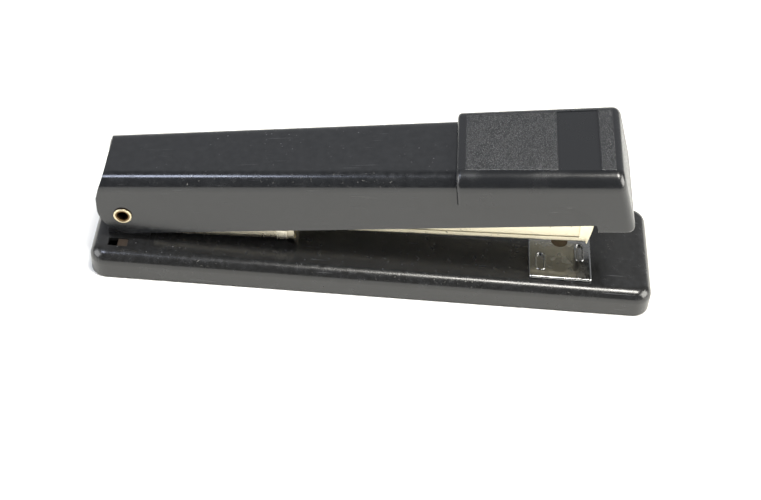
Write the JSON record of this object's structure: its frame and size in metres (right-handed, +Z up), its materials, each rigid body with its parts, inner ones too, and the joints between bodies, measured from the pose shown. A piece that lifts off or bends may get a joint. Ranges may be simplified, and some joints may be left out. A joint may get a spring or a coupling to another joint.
{
  "type": "desk stapler",
  "caption": "Full-strip desk stapler with a pressed-steel base and cover, a plastic head cap, a hinged magazine and a reversible anvil.",
  "frame": {"origin": "centre of the base's footprint, on the table", "axes": "+X along the stapler towards the nose, +Z up"},
  "size_m": [0.2014, 0.0474, 0.0624],
  "materials": {
    "black_enamel": "baked gloss enamel, scuffed",
    "cap_plastic": "moulded, pebbled top with glossy borders",
    "pad_rubber": "matte",
    "bright_nickel": "bright nickel plate",
    "satin_nickel": "satin nickel plate, slightly yellowed",
    "spring_steel": "blued spring steel",
    "plain_steel": "bare stamped steel",
    "anvil_chrome": "mirror plate",
    "aged_brass": "dulled",
    "yoke_enamel": "dipped enamel"
  },
  "bodies": {
    "base": {"base_shell": "black_enamel", "base_pad": "pad_rubber", "hinge_yoke": "yoke_enamel", "yoke_rivet_near": "plain_steel", "yoke_rivet_far": "plain_steel", "pivot_rivet": "bright_nickel", "anvil_spring": "spring_steel"},
    "anvil_lifter": {"anvil_button": "plain_steel"},
    "anvil": {"anvil_plate": "anvil_chrome", "anvil_stud": "aged_brass"},
    "magazine": {"magazine_channel": "satin_nickel", "staple_rail": "plain_steel", "magazine_nose": "satin_nickel", "rod_bracket": "plain_steel", "guide_rod": "plain_steel", "pusher_spring": "spring_steel", "magazine_carrier": "satin_nickel", "magazine_rivet_rear": "plain_steel", "magazine_rivet_front": "plain_steel", "lifter_spring": "bright_nickel"},
    "pusher": {"pusher": "satin_nickel"},
    "handle": {"cover": "black_enamel", "head_cap": "cap_plastic", "cap_clip_near": "spring_steel", "cap_clip_far": "spring_steel", "driver_strap": "spring_steel", "driver_blade": "plain_steel", "driver_rivet_rear": "plain_steel", "driver_rivet_front": "plain_steel", "handle_spring": "spring_steel"}
  },
  "joints": [
    {"name": "magazine_hinge", "type": "hinge", "parent": "base", "child": "magazine", "pos_m": [-0.0888, 0, 0.0223], "axis": [0, -1, 0], "range_deg": [-2.8, 62], "stiffness_Nm_per_rad": 3, "deforming": ["lifter_spring"]},
    {"name": "handle_hinge", "type": "hinge", "parent": "magazine", "child": "handle", "pos_m": [-0.0888, 0, 0.0223], "axis": [0, -1, 0], "range_deg": [-4, 45], "stiffness_Nm_per_rad": 6, "deforming": ["handle_spring"]},
    {"name": "pusher_slide", "type": "slide", "parent": "magazine", "child": "pusher", "axis": [0.9993, 0, 0.0366], "range_m": [-0.1, 0], "stiffness_N_per_m": 25, "springref_m": 0.06, "deforming": ["pusher_spring"]},
    {"name": "anvil_lift", "type": "slide", "parent": "base", "child": "anvil_lifter", "axis": [0, 0, 1], "range_m": [0, 0.0022], "stiffness_N_per_m": 900, "springref_m": -0.002, "deforming": ["anvil_spring"]},
    {"name": "anvil_turn", "type": "hinge", "parent": "anvil_lifter", "child": "anvil", "pos_m": [0.0675, 0, 0.0108], "axis": [0, 0, 1], "continuous": true}
  ]
}
